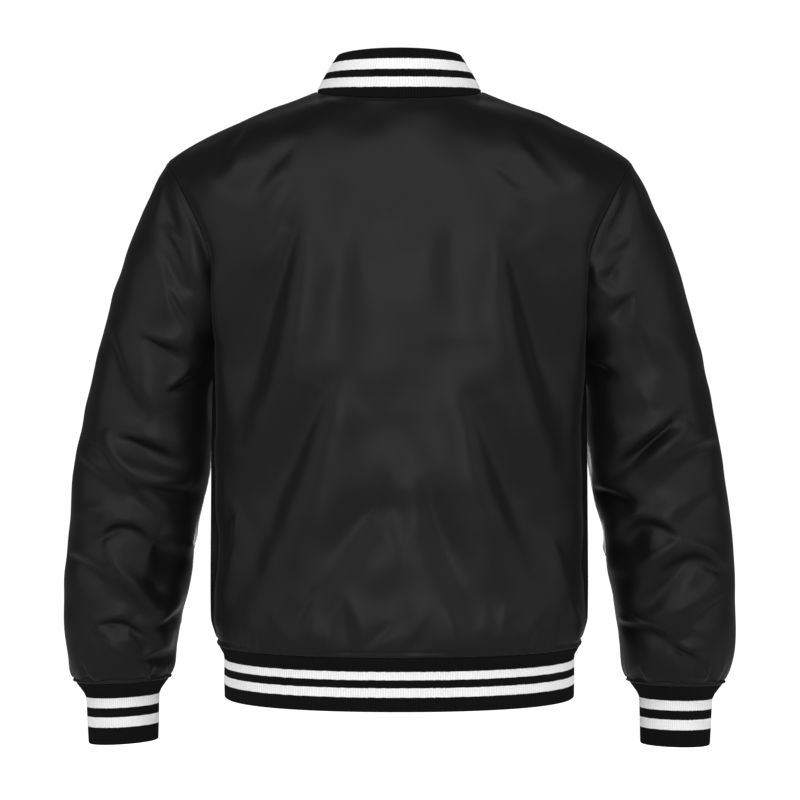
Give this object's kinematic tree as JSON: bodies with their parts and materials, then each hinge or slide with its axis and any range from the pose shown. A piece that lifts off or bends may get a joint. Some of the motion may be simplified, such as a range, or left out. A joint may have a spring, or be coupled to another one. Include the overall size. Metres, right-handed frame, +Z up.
{
  "type": "varsity jacket",
  "caption": "Hip-length varsity jacket in satin with set-in sleeves, snap front and striped rib-knit collar, hem band and cuffs, in the hollow form it has when worn.",
  "frame": {"origin": "on the centre plane, midway between and level with the inner ends of the shoulder seams, where the wearer's shoulders carry the jacket", "axes": "+Z up, +Y towards the back of the jacket (the front faces -Y), +X towards the wearer's left sleeve"},
  "size_m": [0.7232, 0.2748, 0.739],
  "materials": {
    "black_satin": "satin weave, softly shining",
    "black_rib_knit": "matt rib knit with two white stripes",
    "black_snap_enamel": "gloss enamel"
  },
  "bodies": {
    "root": {"back_panel": "black_satin", "front_left": "black_satin", "front_right": "black_satin", "sleeve_left": "black_satin", "sleeve_right": "black_satin", "collar_rib": "black_rib_knit", "hem_rib": "black_rib_knit", "cuff_left": "black_rib_knit", "cuff_right": "black_rib_knit", "snap_1": "black_snap_enamel", "snap_2": "black_snap_enamel", "snap_3": "black_snap_enamel", "snap_4": "black_snap_enamel", "snap_5": "black_snap_enamel", "snap_6": "black_snap_enamel", "snap_7": "black_snap_enamel"}
  },
  "joints": []
}
